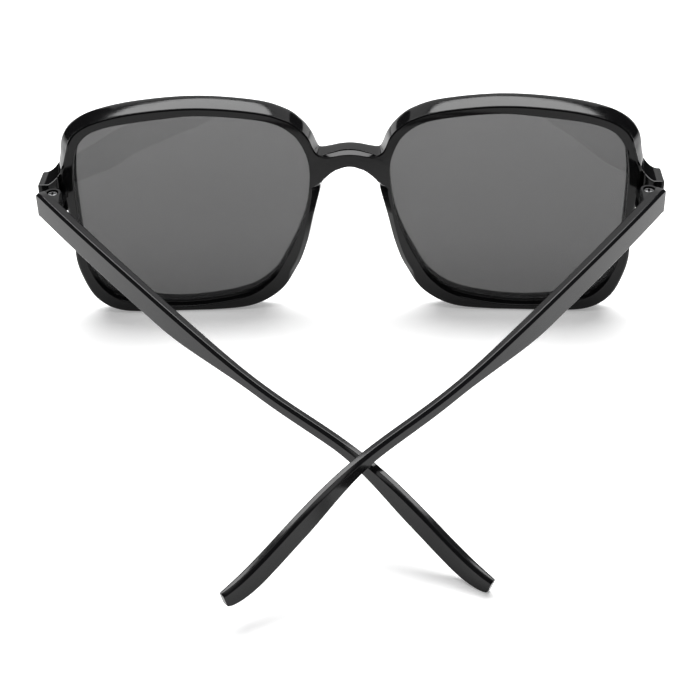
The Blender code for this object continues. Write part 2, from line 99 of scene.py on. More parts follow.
def wrapOf(x):
    # How far the front has curved back at a distance x from its middle
    return x ** 2 / (2 * frontShape["wrapRadius"])


hingeSetback = 0.0048
frontY = hingePlace["left"][1] - wrapOf(hingePlace["left"][0]) - hingeSetback


# Shared geometry
cornerLimit = 0.45  # most of a line that one corner's rounding takes up
shortest, mergeGap, thinGap = 1e-9, 1e-7, 1e-8
edgeShare = 0.3  # where a rounded edge's middle point stands, as a share of its width


def smoothCurve(points, stepCount):
    # Closed curve through the points: between two of them a cubic whose slope at each
    # is half the way from the point before it to the one after
    before, after, beyond = (np.roll(points, shift, axis=0) for shift in (1, -1, -2))
    t = np.linspace(0, 1, stepCount, endpoint=False)[None, :, None]
    p, q, r, s = (a[:, None, :] for a in (before, points, after, beyond))
    curve = (2 * q + (r - p) * t + (2 * p - 5 * q + 4 * r - s) * t ** 2
             + (3 * q - p - 3 * r + s) * t ** 3) / 2
    return curve.reshape(-1, 2)


def evenPoints(curve, count):
    # The same number of points at equal distances along a closed curve
    closed = np.vstack([curve, curve[:1]])
    along = np.concatenate([[0], np.cumsum(np.linalg.norm(np.diff(closed, axis=0), axis=1))])
    marks = np.linspace(0, along[-1], count, endpoint=False)
    return np.column_stack([np.interp(marks, along, closed[:, i]) for i in (0, 1)])


def outwardNormals(curve):
    # Across the line from the point before to the point after, away from the inside
    tangent = np.roll(curve, -1, axis=0) - np.roll(curve, 1, axis=0)
    tangent /= np.linalg.norm(tangent, axis=1)[:, None]
    following = np.roll(curve, -1, axis=0)
    turning = np.sum(curve[:, 0] * following[:, 1] - following[:, 0] * curve[:, 1])
    return np.column_stack([tangent[:, 1], -tangent[:, 0]]) * np.sign(turning)


def roundCorners(before, corners, after, radius, steps):
    # Each corner becomes a short parabola: it leaves the line to the corner before at the
    # radius, is drawn towards the corner, and joins the line to the next one
    def towards(neighbour):
        line = neighbour - corners
        length = np.linalg.norm(line, axis=-1, keepdims=True)
        return corners + line * np.minimum(radius[..., None] / np.maximum(length, shortest), cornerLimit)
    start, end = towards(before)[..., None, :], towards(after)[..., None, :]
    t = np.linspace(0, 1, steps)[:, None]
    curve = (1 - t) ** 2 * start + 2 * t * (1 - t) * corners[..., None, :] + t ** 2 * end
    return curve.reshape(*corners.shape[:-2], -1, corners.shape[-1])


def roundSection(corners, radii, steps):
    # Rounds closed sections, one radius for each of their corners
    before, after = np.roll(corners, 1, axis=1), np.roll(corners, -1, axis=1)
    return roundCorners(before, corners, after, np.broadcast_to(radii, corners.shape[:2]), steps)


def gridFaces(rows, columns, closeRows=False):
    # Quads between neighbouring rows and columns of a grid of points, closed across
    row = np.arange(rows if closeRows else rows - 1)[:, None]
    column = np.arange(columns)[None, :]
    nextRow, nextColumn = (row + 1) % rows, (column + 1) % columns
    corners = (row * columns + column, row * columns + nextColumn,
               nextRow * columns + nextColumn, nextRow * columns + column)
    return np.stack(np.broadcast_arrays(*corners), axis=-1)


def newMesh(name, points, faces):
    # Faces are turned outwards, doubles merged, and points without a face dropped
    mesh = bpy.data.meshes.new(name)
    mesh.from_pydata(points.reshape(-1, 3).tolist(), [], [list(face) for face in faces])
    bm = bmesh.new()
    bm.from_mesh(mesh)
    bmesh.ops.remove_doubles(bm, verts=bm.verts, dist=mergeGap)
    bmesh.ops.delete(bm, geom=[v for v in bm.verts if not v.link_faces], context="VERTS")
    bmesh.ops.dissolve_degenerate(bm, edges=bm.edges, dist=thinGap)
    bmesh.ops.recalc_face_normals(bm, faces=bm.faces)
    bm.to_mesh(mesh)
    bm.free()
    return mesh


def newObject(name, mesh):
    piece = bpy.data.objects.new(name, mesh)
    bpy.context.scene.collection.objects.link(piece)
    return piece


def sweepMesh(name, sections):
    # Skin over a row of closed sections, with a flat face at each end
    rows, columns = sections.shape[:2]
    faces = gridFaces(rows, columns).reshape(-1, 4).tolist()
    faces += [list(range(columns)), list(range((rows - 1) * columns, rows * columns))]
    return newMesh(name, sections, faces)


def prismMesh(name, plan, levels):
    # Plan outline carried up through levels, each a height and an inset along the normal
    normals = outwardNormals(plan)
    sections = [np.column_stack([plan - normals * inset, np.full(len(plan), height)])
                for height, inset in levels]
    return sweepMesh(name, np.stack(sections))


def combine(target, tools):
    # Joins or cuts helper solids, keeps the result as the target's own mesh
    for tool, operation in tools:
        step = target.modifiers.new(tool.name, "BOOLEAN")
        step.operation = operation
        step.solver = "EXACT"
        step.object = tool
    bpy.context.view_layer.update()
    graph = bpy.context.evaluated_depsgraph_get()
    target.data = bpy.data.meshes.new_from_object(target.evaluated_get(graph))
    target.modifiers.clear()
    for tool, _ in tools:
        bpy.data.objects.remove(tool)


def finishPiece(piece, material, body, nodes=(), sharpAngle=50):
    # Finish and shading, then the body it rides on, and the nodes it stands for, which are hidden
    piece.data.materials.clear()
    piece.data.materials.append(material)
    piece.data.shade_smooth()
    piece.data.set_sharp_from_angle(angle=np.radians(sharpAngle))
    evenShade = piece.modifiers.new("evenShade", "WEIGHTED_NORMAL")
    evenShade.keep_sharp = True
    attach(piece, body)
    if nodes:
        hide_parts(*nodes)
    return piece


def circlePlan(radius, steps):
    # Radius times the cosine and the sine of evenly spaced angles, all the way round
    angle = np.linspace(0, 2 * np.pi, steps, endpoint=False)
    return np.column_stack([radius * np.cos(angle), radius * np.sin(angle)])


def arcPlan(radius, start, end, steps):
    # The same from one angle to another, both ends included
    angle = np.linspace(start, end, steps)
    return np.column_stack([radius * np.cos(angle), radius * np.sin(angle)])


def densePlan(corners, step):
    # Closed plan whose lines are each split into equal parts no longer than the step
    closed = np.vstack([corners, corners[:1]])
    along = np.concatenate([[0], np.cumsum(np.linalg.norm(np.diff(closed, axis=0), axis=1))])
    parts = np.ceil(np.diff(along) / step).astype(int)
    marks = np.concatenate([np.linspace(start, end, count, endpoint=False)
                            for start, end, count in zip(along[:-1], along[1:], parts)])
    return np.column_stack([np.interp(marks, along, closed[:, i]) for i in (0, 1)])


# Shader groups that more than one finish uses
def newGroup(name, inputs, outputs):
    # Empty group with its named sockets, and its input and output nodes
    group = bpy.data.node_groups.new(name, "ShaderNodeTree")
    for socket, value in inputs:
        made = group.interface.new_socket(socket, in_out="INPUT", socket_type="NodeSocketFloat")
        made.default_value = value
    for socket in outputs:
        group.interface.new_socket(socket, in_out="OUTPUT", socket_type="NodeSocketFloat")
    return group, group.nodes.new("NodeGroupInput"), group.nodes.new("NodeGroupOutput")


def addNode(tree, kind, values=None, links=None, **settings):
    # Node with its settings, its sockets' fixed values and what is linked into them
    node = tree.nodes.new("ShaderNode" + kind)
    for setting, value in settings.items():
        setattr(node, setting, value)
    for socket, value in (values or {}).items():
        node.inputs[socket].default_value = value
    for socket, source in (links or {}).items():
        tree.links.new(source, node.inputs[socket])
    return node


def mathNode(tree, operation, first, second=0.0, clamp=False):
    # Each of the two inputs is a number or another node's socket
    node = tree.nodes.new("ShaderNodeMath")
    node.operation = operation
    node.use_clamp = clamp
    for socket, value in enumerate((first, second)):
        if isinstance(value, (int, float)):
            node.inputs[socket].default_value = value
        else:
            tree.links.new(value, node.inputs[socket])
    return node.outputs[0]


def makeEdgeGroup():
    # How far a softened normal leans away from the true one: 1 on edges, 0 on flats
    group, given, result = newGroup("edgeMask", [("Radius", 0.0003), ("Gain", 6.0)], ["Mask"])
    soft = addNode(group, "Bevel", links={"Radius": given.outputs["Radius"]}, samples=4)
    true = addNode(group, "NewGeometry")
    lean = addNode(group, "VectorMath", operation="DOT_PRODUCT",
                   links={0: soft.outputs["Normal"], 1: true.outputs["Normal"]})
    away = mathNode(group, "SUBTRACT", 1.0, lean.outputs["Value"])
    mask = mathNode(group, "MULTIPLY", away, given.outputs["Gain"], clamp=True)
    group.links.new(mask, result.inputs["Mask"])
    return group


def makePolishGroup():
    # Hand polish on moulded plastic: slow waves, fine hairline scratches two ways, and
    # small dull patches that only show in the gloss
    group, given, result = newGroup(
        "plasticPolish", [("Roughness", 0.15), ("Scratches", 0.5), ("Waves", 0.3)],
        ["Roughness", "Height", "Scratch"])
    place = addNode(group, "TexCoord").outputs["Object"]
    wave = addNode(group, "TexNoise", {"Scale": 260.0, "Detail": 2.0}, {"Vector": place})
    scratches = []
    for turn, stretch in ((0.5, (60.0, 2600.0, 2600.0)), (1.9, (2400.0, 70.0, 2400.0))):
        lay = addNode(group, "Mapping", {"Rotation": (turn, turn / 2, turn), "Scale": stretch},
                      {"Vector": place})
        streak = addNode(group, "TexNoise", {"Scale": 1.0, "Detail": 3.0, "Roughness": 0.6},
                         {"Vector": lay.outputs[0]})
        line = addNode(group, "MapRange", {"From Min": 0.62, "From Max": 0.74},
                       {"Value": streak.outputs["Fac"]})
        scratches.append(line.outputs["Result"])
    scratch = mathNode(group, "MAXIMUM", *scratches)
    scratch = mathNode(group, "MULTIPLY", scratch, given.outputs["Scratches"])
    patch = addNode(group, "TexNoise", {"Scale": 900.0, "Detail": 4.0}, {"Vector": place})
    dull = addNode(group, "MapRange", {"From Min": 0.45, "From Max": 0.8, "To Max": 0.5},
                   {"Value": patch.outputs["Fac"]})
    spread = mathNode(group, "ADD", mathNode(group, "MULTIPLY", scratch, 0.6),
                      dull.outputs["Result"])
    spread = mathNode(group, "ADD", spread, 1.0)
    rough = mathNode(group, "MULTIPLY", given.outputs["Roughness"], spread, clamp=True)
    waves = mathNode(group, "MULTIPLY", wave.outputs["Fac"], given.outputs["Waves"])
    height = mathNode(group, "SUBTRACT", waves, mathNode(group, "MULTIPLY", scratch, 0.05))
    for name, value in (("Roughness", rough), ("Height", height), ("Scratch", scratch)):
        group.links.new(value, result.inputs[name])
    return group


def placeGroup(tree, group, **values):
    node = tree.nodes.new("ShaderNodeGroup")
    node.node_tree = group
    for socket, value in values.items():
        node.inputs[socket].default_value = value
    return node


def newMaterial(name):
    material = bpy.data.materials.new(name)
    material.use_nodes = True
    return material, material.node_tree, material.node_tree.nodes["Principled BSDF"]


print("shapes and groups ready")
edgeGroup = makeEdgeGroup()
polishGroup = makePolishGroup()

plasticLook = {
    "front": {"color": (0.0035, 0.0035, 0.0038), "worn": (0.024, 0.024, 0.025), "roughness": 0.08,
              "specular": 0.22, "scratches": 0.45, "waves": 0.35, "edge": 0.35},
    "temple": {"color": (0.0055, 0.0055, 0.0060), "worn": (0.030, 0.030, 0.032), "roughness": 0.12,
               "specular": 0.23, "scratches": 0.6, "waves": 0.3, "edge": 0.4},
}
wearLook = {"edgeRadius": 0.00025, "edgeGain": 5.0, "scratchShare": 0.12, "wornRoughness": 0.2,
            "bumpStrength": 0.06, "bumpDistance": 0.0001}


def makePlastic(name, look):
    # Black plastic, a little greyer and duller where edges and scratches are worn
    material, tree, shader = newMaterial(name)
    polish = placeGroup(tree, polishGroup, Roughness=look["roughness"],
                        Scratches=look["scratches"], Waves=look["waves"])
    edge = placeGroup(tree, edgeGroup, Radius=wearLook["edgeRadius"], Gain=wearLook["edgeGain"])
    worn = mathNode(tree, "MULTIPLY", edge.outputs["Mask"], look["edge"])
    marked = mathNode(tree, "MULTIPLY", polish.outputs["Scratch"], wearLook["scratchShare"])
    amount = mathNode(tree, "ADD", worn, marked, clamp=True)
    mix = addNode(tree, "Mix", data_type="RGBA")
    mix.inputs[6].default_value = (*look["color"], 1)
    mix.inputs[7].default_value = (*look["worn"], 1)
    tree.links.new(amount, mix.inputs[0])
    tree.links.new(mix.outputs[2], shader.inputs["Base Color"])
    rough = mathNode(tree, "ADD", polish.outputs["Roughness"],
                     mathNode(tree, "MULTIPLY", worn, wearLook["wornRoughness"]))
    tree.links.new(rough, shader.inputs["Roughness"])
    bump = addNode(tree, "Bump", {"Strength": wearLook["bumpStrength"],
                                  "Distance": wearLook["bumpDistance"]},
                   {"Height": polish.outputs["Height"]})
    tree.links.new(bump.outputs["Normal"], shader.inputs["Normal"])
    shader.inputs["Specular IOR Level"].default_value = look["specular"]
    return material


lensLook = {"top": (0.030, 0.030, 0.031), "bottom": (0.022, 0.022, 0.023), "alphaTop": 0.728,
            "alphaBottom": 0.776, "roughness": 0.03, "specular": 0.2, "scratches": 0.3,
            "cloudScale": 45.0, "cloudShare": 0.12}


def makeTint(name, look):
    # Grey tinted sheet: darker and denser downwards, faint smears in its gloss
    material, tree, shader = newMaterial(name)
    place = addNode(tree, "TexCoord").outputs["Object"]
    split = addNode(tree, "SeparateXYZ", links={"Vector": place})
    rise = addNode(tree, "MapRange", {"From Min": frontShape["rimBottom"], "From Max": frontHeight},
                   {"Value": split.outputs["Z"]})
    cloud = addNode(tree, "TexNoise", {"Scale": look["cloudScale"], "Detail": 3.0}, {"Vector": place})
    drift = mathNode(tree, "SUBTRACT", cloud.outputs["Fac"], 0.5)
    drift = mathNode(tree, "MULTIPLY", drift, look["cloudShare"])
    level = mathNode(tree, "ADD", rise.outputs["Result"], drift, clamp=True)
    mix = addNode(tree, "Mix", data_type="RGBA")
    mix.inputs[6].default_value = (*look["bottom"], 1)
    mix.inputs[7].default_value = (*look["top"], 1)
    tree.links.new(level, mix.inputs[0])
    tree.links.new(mix.outputs[2], shader.inputs["Base Color"])
    dense = addNode(tree, "MapRange", {"To Min": look["alphaBottom"], "To Max": look["alphaTop"]},
                    {"Value": level})
    tree.links.new(dense.outputs["Result"], shader.inputs["Alpha"])
    polish = placeGroup(tree, polishGroup, Roughness=look["roughness"],
                        Scratches=look["scratches"], Waves=0.0)
    tree.links.new(polish.outputs["Roughness"], shader.inputs["Roughness"])
    shader.inputs["Specular IOR Level"].default_value = look["specular"]
    return material


def makeSteel(name, look):
    # Turned steel: fine rings about the hinge's axis, with painted shade in the driver's recess
    material, tree, shader = newMaterial(name)
    place = addNode(tree, "TexCoord").outputs["Object"]
    split = addNode(tree, "SeparateXYZ", links={"Vector": place})
    hingeX, hingeY, hingeZ = (float(n) for n in hingePlace["left"])
    across = mathNode(tree, "SUBTRACT", mathNode(tree, "ABSOLUTE", split.outputs["X"]), hingeX)
    along = mathNode(tree, "SUBTRACT", split.outputs["Y"], hingeY)
    reach = mathNode(tree, "SQRT", mathNode(tree, "ADD", mathNode(tree, "POWER", across, 2.0),
                                            mathNode(tree, "POWER", along, 2.0)))
    ring = mathNode(tree, "SINE", mathNode(tree, "MULTIPLY", reach, look["ringRate"]))
    grain = addNode(tree, "TexNoise", {"Scale": look["grainScale"], "Detail": 3.0}, {"Vector": place})
    top = hingeZ + screwShape["height"] / 2 - screwShape["sunk"]
    # Painted shade: the lower a point lies under the head's top, the nearer its colour comes to the dark
    # recess colour, so the cross and the head's sides are painted dark
    depth = addNode(tree, "MapRange", {"From Min": top - screwShape["recessDepth"],
                                       "From Max": top - look["litDepth"]},
                    {"Value": split.outputs["Z"]})
    grainShare, plainShare = look["shadeShares"]
    shade = mathNode(tree, "MULTIPLY", grain.outputs["Fac"], grainShare)
    shade = mathNode(tree, "MULTIPLY", depth.outputs["Result"],
                     mathNode(tree, "ADD", shade, plainShare), clamp=True)
    mix = addNode(tree, "Mix", data_type="RGBA")
    mix.inputs[6].default_value = (*look["recess"], 1)
    mix.inputs[7].default_value = (*look["color"], 1)
    tree.links.new(shade, mix.inputs[0])
    tree.links.new(mix.outputs[2], shader.inputs["Base Color"])
    rough = mathNode(tree, "MULTIPLY", grain.outputs["Fac"], look["roughnessSpread"])
    rough = mathNode(tree, "ADD", rough, look["roughness"])
    tree.links.new(rough, shader.inputs["Roughness"])
    bump = addNode(tree, "Bump", {"Strength": look["bumpStrength"], "Distance": look["bumpDistance"]},
                   {"Height": ring})
    tree.links.new(bump.outputs["Normal"], shader.inputs["Normal"])
    shader.inputs["Metallic"].default_value = 1.0
    return material


screwShape = {
    "height": 0.0058, "sunk": 0.0002, "headRadius": 0.0011, "headHeight": 0.0005, "shankRadius": 0.0006,
    "dome": 0.00010, "recessDepth": 0.0005, "armHalf": 0.00027, "armLength": 0.00088,
    "armSlope": 0.00005, "endSlope": 0.00012, "headEdge": 0.00012, "edgeStep": 0.00003,
    "footEdge": 0.00015, "turn": 0.15, "sharpAngle": 35, "around": 96, "rings": 30,
}
steelLook = {
    # recess is the painted shade colour of the driver's cross and of all below the head's top; litDepth is
    # how far under the top the steel keeps its own colour
    "color": (0.27, 0.27, 0.275), "recess": (0.03, 0.03, 0.032), "litDepth": 0.00003,
    "ringRate": 52000.0, "grainScale": 5000.0, "shadeShares": (0.4, 0.7), "roughness": 0.34,
    "roughnessSpread": 0.25, "bumpStrength": 0.15, "bumpDistance": 0.00001,
}
frontBlack = makePlastic("frontBlack", plasticLook["front"])
templeBlack = makePlastic("templeBlack", plasticLook["temple"])
lensGrey = makeTint("lensGrey", lensLook)
screwSteel = makeSteel("screwSteel", steelLook)
print("materials ready")


# Front: rims, bridge, nose facets and lens grooves in one skin
def facingDown(normals):
    # Square of how far each normal points down: 1 straight down, 0 level or upwards
    return np.clip(-normals[:, 1], 0, 1) ** 2


def openingCurve():
    # Smooth curve through the opening's shares, moved out along its normals
    shares = np.array(openingShares)
    start = np.array((frontShape["openingStart"], frontShape["rimBottom"]))
    size = np.array((frontShape["openingWidth"], frontShape["openingHeight"]))
    curve = smoothCurve(start + shares * size, frontShape["openingSteps"])
    normals = outwardNormals(curve)
    growth = frontShape["growth"]
    growth = growth + (frontShape["growthBottom"] - growth) * facingDown(normals)
    return curve + normals * growth[:, None]


def frontCurve():
    # Smooth curve through the left half's points and their mirror, in even steps
    top = np.array(bridgeTopShares) * (bridgeHalf, frontHeight)
    rim = np.array(rimShares) * (rimWidth, frontHeight) + (bridgeHalf, 0)
    under = np.array(bridgeUnderShares) * (bridgeHalf, frontHeight)
    left = np.vstack([top, rim, under])
    curve = smoothCurve(np.vstack([left, left[-2:0:-1] * (-1, 1)]), frontShape["outlineSteps"])
    length = np.sum(np.linalg.norm(np.diff(curve, axis=0), axis=1))
    curve = evenPoints(curve, 2 * round(length / frontShape["pointStep"] / 2))
    curve[:, 1] = np.clip(curve[:, 1], 0, frontHeight)
    return curve


def halfLoop():
    # Left half of the outer edge, closed by a line up the middle of the bridge. On
    # that line the normals turn evenly from down to up, so every level meets its mirror
    curve = frontCurve()
    normals = outwardNormals(curve)
    last = len(curve) // 2
    curve, normals = curve[:last + 1], normals[:last + 1]
    curve[[0, -1], 0] = 0
    normals[0], normals[-1] = (0, 1), (0, -1)
    t = np.linspace(0, 1, frontShape["centreSteps"] + 1)[1:-1, None]
    middle = curve[-1] + (curve[0] - curve[-1]) * t
    upright = np.hstack([0 * t, 2 * t - 1])
    return np.vstack([curve, middle]), np.vstack([normals, upright]), last


def partnersOnOpening(loop):
    # For each point of the loop, the opening's point in about the same direction from
    # the opening's middle: mostly its own direction, mixed with evenly turning ones
    curve = openingCurve()
    normals = outwardNormals(curve)
    middle = (curve.max(axis=0) + curve.min(axis=0)) / 2
    angle = np.arctan2(*(curve - middle).T[::-1])
    order = np.argsort(angle)
    spoke = np.unwrap(np.arctan2(*(loop - middle).T[::-1]))
    spoke = np.minimum.accumulate(spoke)
    even = spoke[0] - 2 * np.pi * np.arange(len(loop)) / len(loop)
    ownShare, evenShare = frontShape["spokeShares"]
    spoke = ownShare * spoke + evenShare * even
    wrapped = (spoke + np.pi) % (2 * np.pi) - np.pi
    table = np.hstack([curve, normals])[order]
    found = np.column_stack([np.interp(wrapped, angle[order], table[:, i], period=2 * np.pi)
                             for i in range(4)])
    return found[:, :2], found[:, 2:]


def outerProfile(loop, normals):
    # Corners of the outer wall from back to front, each an inset and a depth: back edge,
    # chamfer (the crescent on the bridge and the facets beside the nose), then the wall,
    # drawn in by the draft times the share of the way back, to the draft's power
    shape = frontShape
    across, rise = normals[:, 0] ** 2, np.clip(normals[:, 1], 0, 1) ** 2
    fall = facingDown(normals)
    x, z = loop.T
    crescent = np.sqrt(np.clip(1 - (x / bridgeShape["crescentHalf"]) ** 2, 0, 1))
    crescent = crescent * (normals[:, 1] > bridgeShape["crescentSlope"]) * (x < bridgeHalf)
    place = np.clip((z - facetShape["bottom"]) / (facetShape["top"] - facetShape["bottom"]), 0, 1)
    opened = np.clip((facetShape["top"] - z) / facetShape["topStep"], 0, 1)
    opened = opened * np.clip(place * facetShape["footSteepness"], 0, 1)
    opened = opened * np.clip(-facetShape["turnSteepness"] * normals[:, 0], 0, 1)
    narrow = facetShape["narrowShare"]
    widening = narrow + (1 - narrow) * place ** facetShape["widening"]
    edge = shape["backEdge"] + shape["sideEdge"] * np.clip(normals[:, 0], 0, 1) ** 2
    facet = opened * widening
    cutIn = edge + facetShape["width"] * facet + bridgeShape["chamferDrop"] * crescent
    cutDeep = edge + facetShape["depth"] * facet + bridgeShape["chamferDeep"] * crescent
    step = bridgeShape["step"] * crescent

    wallFront = shape["depth"] - shape["frontEdge"]
    outerDraft = shape["sideDraft"] * np.interp(z, *np.array(sideDraftShares).T)
    side = np.where(normals[:, 0] > 0, outerDraft, shape["noseDraft"])
    onRim = np.interp(x, bridgeShape["draftReach"], (bridgeShape["draftShare"], 1))
    across = np.where(normals[:, 0] > 0, across, across ** 3)
    draft = side * across + shape["browDraft"] * rise * onRim

    def insetAt(depth):
        back = 1 - depth / wallFront
        tuck = shape["bottomTuck"] * fall * np.clip(back / shape["tuckStart"] - 1, 0, 1)
        return draft * np.clip(back, 0, 1) ** shape["draftPower"] + tuck
    corners = [(insetAt(cutDeep) + step + cutIn, 0 * cutIn),
               (insetAt(cutDeep) + step, cutDeep - edge * bridgeShape["stepEdgeShare"]),
               (insetAt(cutDeep), cutDeep)]
    for share in np.linspace(0, 1, shape["wallSteps"])[1:-1]:
        depth = cutDeep + (wallFront - cutDeep) * share
        corners.append((insetAt(depth), depth))
    corners.append((0 * cutIn, shape["depth"] + 0 * cutIn))
    corners = np.stack([np.stack(corner, axis=-1) for corner in corners], axis=1)
    inside = np.array((shape["innerStep"], 0.0))
    before = np.concatenate([corners[:, :1] + inside, corners[:, :-1]], axis=1)
    after = np.concatenate([corners[:, 1:], corners[:, -1:] + inside], axis=1)
    radius = np.full(corners.shape[:2], shape["wallRadius"])
    radius[:, -1] = shape["frontEdge"]
    radius[:, 0] = shape["backRadius"]
    return roundCorners(before, corners, after, radius, shape["cornerSteps"])


def openingProfile(normals):
    # Corners of the opening from front to back: lip, groove for the lens, chamfer. The
    # chamfer is widest where the wall faces up, along the opening's bottom
    shape = frontShape
    grooveFront = shape["depth"] - shape["lip"]
    grooveBack = grooveFront - shape["lensThickness"] - 2 * shape["seatGap"]
    chamfer = shape["lensChamfer"] * facingDown(normals)
    corners = np.array((
        (0, shape["depth"]), (0, grooveFront), (shape["grooveDepth"], grooveFront),
        (shape["grooveDepth"], grooveBack), (0, grooveBack),
        (0, grooveBack - shape["seatGap"]), (0, 0),
    ))
    corners = np.repeat(corners[None], len(normals), axis=0)
    corners[:, -1, 0] = chamfer
    front = np.broadcast_to((shape["innerStep"], shape["depth"]), corners[:, :1].shape)
    back = corners[:, -1:] + (shape["innerStep"], 0)
    before = np.concatenate([front, corners[:, :-1]], axis=1)
    after = np.concatenate([corners[:, 1:], back], axis=1)
    radius = np.broadcast_to(np.array(shape["openingRadii"]), corners.shape[:2])
    return roundCorners(before, corners, after, radius, shape["cornerSteps"])


def buildFront():
    # The outer wall's and the opening's profiles are carried round together, so that
    # flat faces close the skin between them; the right half mirrors the left. Where the
    # nose facets begin, the profile is cut straight across
    loop, normals, last = halfLoop()
    partner, partnerNormals = partnersOnOpening(loop)
    outer = outerProfile(loop, normals)
    height = loop[:, 1]
    cutLevel = (height < facetShape["top"]) & (height > facetShape["level"])
    cutLevel &= normals[:, 0] < -facetShape["sideways"]
    normals = np.where(cutLevel[:, None], (-1, 0), normals)
    inner = openingProfile(partnerNormals)
    outerXZ = loop[:, None] - normals[:, None] * outer[..., :1]
    innerXZ = partner[:, None] + partnerNormals[:, None] * inner[..., :1]
    flat = np.concatenate([outerXZ, innerXZ], axis=1)
    depth = np.concatenate([outer[..., 1], inner[..., 1]], axis=1)
    skin = np.stack([flat[..., 0], frontY - depth + wrapOf(flat[..., 0]), flat[..., 1]], axis=-1)
    rows, columns = skin.shape[:2]
    faces = gridFaces(rows, columns, closeRows=True)
    kept = np.ones(faces.shape[:2], bool)
    kept[last:, :outer.shape[1] - 1] = False
    faces = faces[kept]
    mirrored = skin * (-1, 1, 1)
    points = np.concatenate([skin.reshape(-1, 3), mirrored.reshape(-1, 3)])
    faces = np.concatenate([faces, faces[:, ::-1] + rows * columns])
    return newObject("frontShell", newMesh("frontShell", points, faces))


endpieceShape = {
    "reach": 0.0051, "height": 0.0080, "top": 0.0379, "foot": 0.0015, "corner": 0.0006,
    "frontFillet": 0.0040, "frontShares": (0, 0.85), "frontRise": 0.0004,
    "backFillet": 0.0025, "backShares": (-0.14, 0.48), "wallShares": (0.12, 0.48),
    "mitreGap": 0.00045, "buttReach": 0.0020, "setIn": 0.0020,
    "edgeWidth": 0.0003, "edgeDrop": 0.00012, "edge": 0.00012, "footEdge": 0.0003,
    "startShare": -0.30, "roundShare": 0.12, "filletRise": 1.4, "setInShares": (-0.06, 0.10),
    "skinGap": 0.00005, "steps": 70, "cornerSteps": 6,
}
# Share of the reach, and the share of the front's depth by which its face stands back
frontInsetShares = ((-0.30, 0.16), (0, 0.12), (0.15, 0.08), (0.30, 0.06), (0.45, 0.06), (0.70, 0.05),
                    (0.92, 0.05), (1, 0.10))


def endpieceMesh(name, side):
    # Five-cornered section carried out from the rim: its top falls in a hollow curve, by
    # the square of the share still to go, and its back runs from the rim's to the mitre
    # that the temple closes on
    shape = endpieceShape
    share = np.linspace(shape["startShare"], 1, shape["steps"])
    x = rimSide + share * shape["reach"]
    mitre = frontY + wrapOf(hingePlace["left"][0]) + hingeSetback - shape["buttReach"] - shape["mitreGap"]

    def filletAt(size, shares):
        start, stop = shares
        return size * np.clip((stop - share) / (stop - start), 0, shape["filletRise"]) ** 2
    frontFillet = filletAt(shape["frontFillet"], shape["frontShares"])
    backFillet = filletAt(shape["backFillet"], shape["backShares"])
    end = np.clip((share - (1 - shape["roundShare"])) / shape["roundShare"], 0, 1)
    edge = shape["corner"] * (1 - np.sqrt(np.clip(1 - end ** 2, 0, 1)))
    inset = np.interp(share, *np.array(frontInsetShares).T)
    front = frontY + wrapOf(x) - frontShape["depth"] * (1 - inset)
    back = frontY + wrapOf(x) - np.interp(share, shape["setInShares"], (shape["setIn"], shape["skinGap"]))
    wallStart, wallEnd = shape["wallShares"]
    back += (mitre - edge - back) * np.clip((share - wallStart) / (wallEnd - wallStart), 0, 1)
    highFront = shape["top"] + shape["frontRise"] + frontFillet - edge
    high = shape["top"] + backFillet - edge
    foot = shape["top"] - shape["height"] - shape["foot"] * backFillet / shape["backFillet"] + edge
    corners = np.stack([np.stack(corner, axis=-1) for corner in (
        (front, highFront), (back - shape["edgeWidth"], high), (back, high - shape["edgeDrop"]),
        (back, foot), (front, foot))], axis=1)
    radii = [shape[key] for key in ("corner", "edge", "edge", "footEdge", "corner")]
    yz = roundSection(corners, radii, shape["cornerSteps"])
    wide = np.broadcast_to(side * x[:, None], yz.shape[:2])
    return sweepMesh(name, np.stack([wide, yz[..., 0], yz[..., 1]], axis=-1))


knuckleShape = {
    "radius": 0.0021, "tongueThickness": 0.0018, "root": 0.0030, "slotHalf": 0.0012,
    "height": 0.0058, "bore": 0.0009, "recess": 0.0014, "edge": 0.00015, "earLength": 0.0046,
    "boreHalf": 0.0015, "around": 64, "tongueSteps": 40, "tongueStep": 0.0008,
    "earArc": (-np.pi / 4, -np.pi * 4 / 3), "earSteps": 44, "earStep": 0.0006, "earEdge": 0.00018,
    "earRise": 0.00010, "slotReach": 0.003, "slotSteps": 16, "cutHalf": 0.006, "headGap": 0.0001,
}


def movedTo(mesh, place, turn=0.0):
    # Turned about the upright axis first, then carried to its place
    mesh.transform(Matrix.Translation(place) @ Matrix.Rotation(turn, 4, "Z"))
    return mesh


def edgedLevels(bottom, top, edge):
    # Heights and insets of a rounded edge in two steps, at the bottom and at the top
    part = edge * edgeShare
    return ((bottom, edge), (bottom + part, part), (bottom + edge, 0),
            (top - edge, 0), (top - part, part), (top, edge))


def tongueMesh(name, sideName):
    # Half-round plan running straight into the rim's back
    shape = knuckleShape
    root = -hingeSetback - shape["root"]
    plan = np.vstack([arcPlan(shape["radius"], 0, np.pi, shape["tongueSteps"]),
                      [(-shape["radius"], root), (shape["radius"], root)]])
    half = shape["tongueThickness"] / 2
    mesh = prismMesh(name, densePlan(plan, shape["tongueStep"]), edgedLevels(-half, half, shape["edge"]))
    return movedTo(mesh, hingePlace[sideName])


def roundCutter(name, radius, bottom, top):
    # Upright cylinder about the axis, from one height to another
    mesh = prismMesh(name, circlePlan(radius, knuckleShape["around"]), ((bottom, 0), (top, 0)))
    return newObject(name, mesh)


